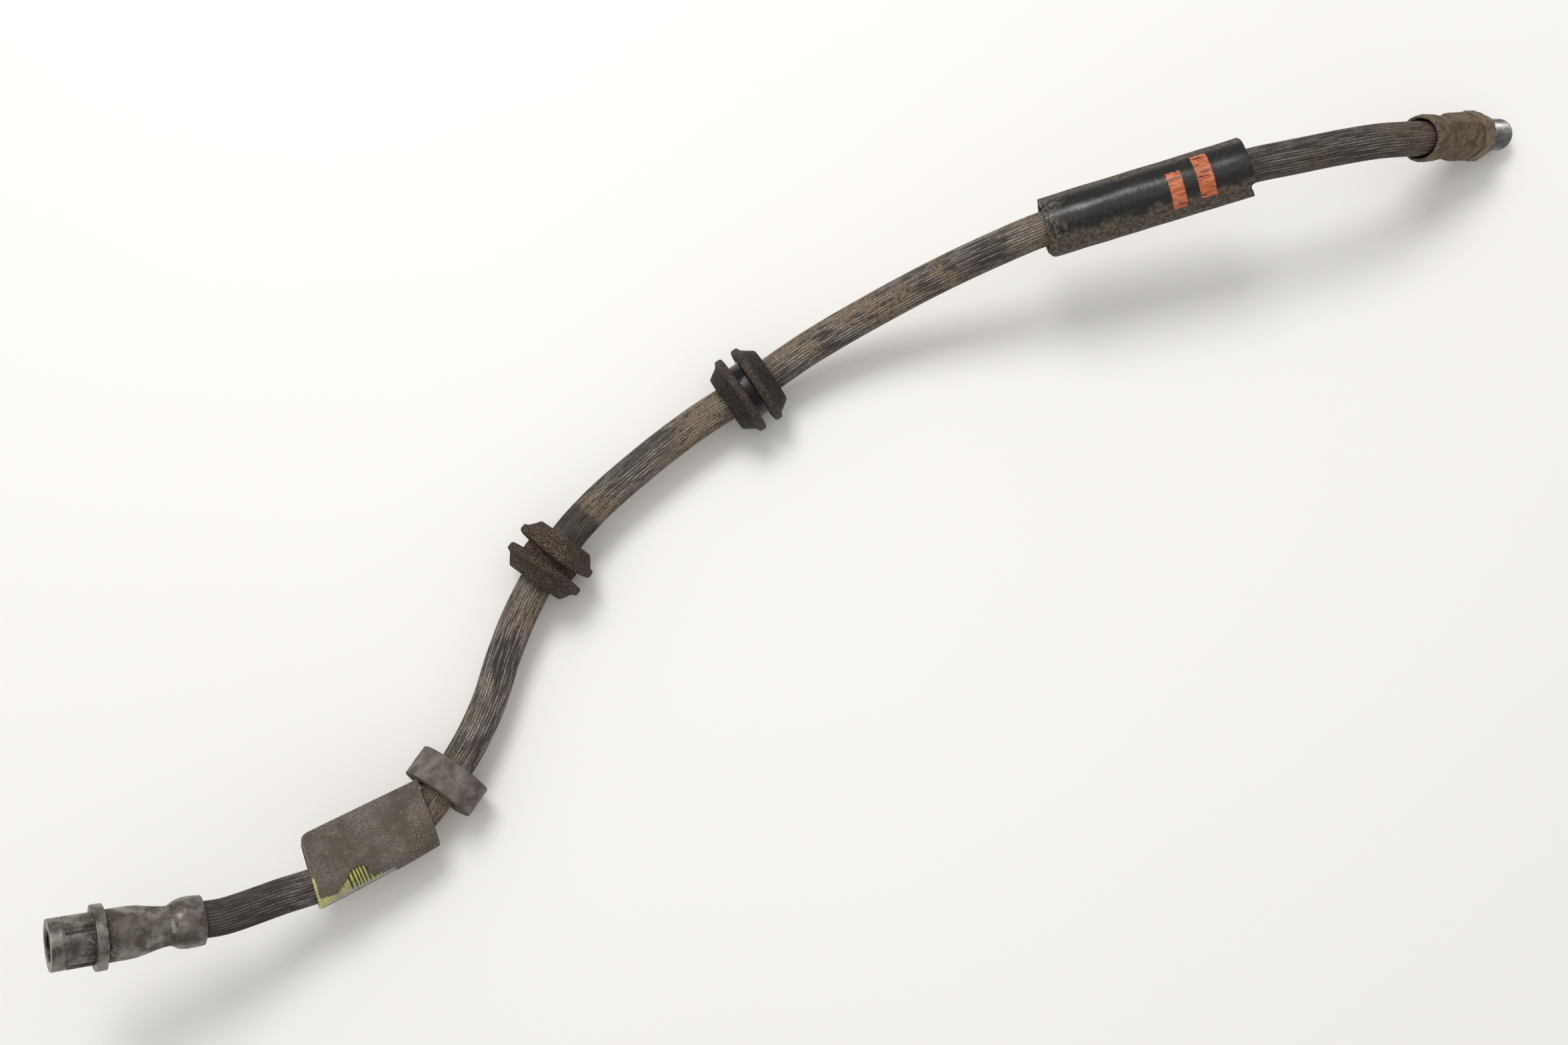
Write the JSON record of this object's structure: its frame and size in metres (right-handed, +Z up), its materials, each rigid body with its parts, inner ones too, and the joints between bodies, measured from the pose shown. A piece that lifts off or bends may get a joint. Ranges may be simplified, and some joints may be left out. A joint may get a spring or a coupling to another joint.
{
  "type": "hydraulic brake hose",
  "caption": "Flexible ribbed rubber hydraulic hose with a threaded socket end and a screw end, bracket grommets, a buffer ring, a loose abrasion sleeve and a folded flag label.",
  "frame": {"origin": "on the surface the hose lies on, under the middle of its outline seen from above", "axes": "+Z up, +X along the outline's longest side, from the socket end to the screw end"},
  "size_m": [0.437, 0.2633, 0.0625],
  "materials": {
    "worn_steel": "worn, pitted and dirty plated steel",
    "bright_steel": "zinc-bright thread on a dirty steel hexagon",
    "ribbed_rubber": "matt, finely ribbed, dusty",
    "inner_rubber": "matt",
    "braid": "braided textile cord",
    "grey_rubber": "matt, speckled grey",
    "brown_rubber": "matt, brown with road dirt",
    "black_rubber": "semi-gloss black with dirt and orange paint marks",
    "yellow_film": "printed yellow film",
    "clear_film": "clear film under a crust of grey-brown dirt"
  },
  "bodies": {
    "hose": {"hose_liner": "inner_rubber", "hose_inner_braid": "braid", "hose_cushion_layer": "inner_rubber", "hose_outer_braid": "braid", "hose_cover": "ribbed_rubber", "female_socket_body": "worn_steel", "female_crimp_shell": "worn_steel", "male_screw_body": "bright_steel", "male_crimp_shell": "worn_steel", "front_grommet": "brown_rubber", "rear_grommet": "brown_rubber", "label_printed_film": "yellow_film", "label_clear_film": "clear_film"},
    "buffer_ring": {"buffer_ring": "grey_rubber"},
    "abrasion_sleeve": {"abrasion_sleeve": "black_rubber"}
  },
  "joints": [
    {"name": "ring_turn", "type": "hinge", "parent": "hose", "child": "buffer_ring", "pos_m": [-0.1141, -0.0785, 0.0124], "axis": [0.5346, 0.8233, -0.1908], "continuous": true},
    {"name": "sleeve_slide", "type": "slide", "parent": "hose", "child": "abrasion_sleeve", "axis": [0.956, 0.2705, 0.1132], "range_m": [-0.01, 0.01]}
  ]
}
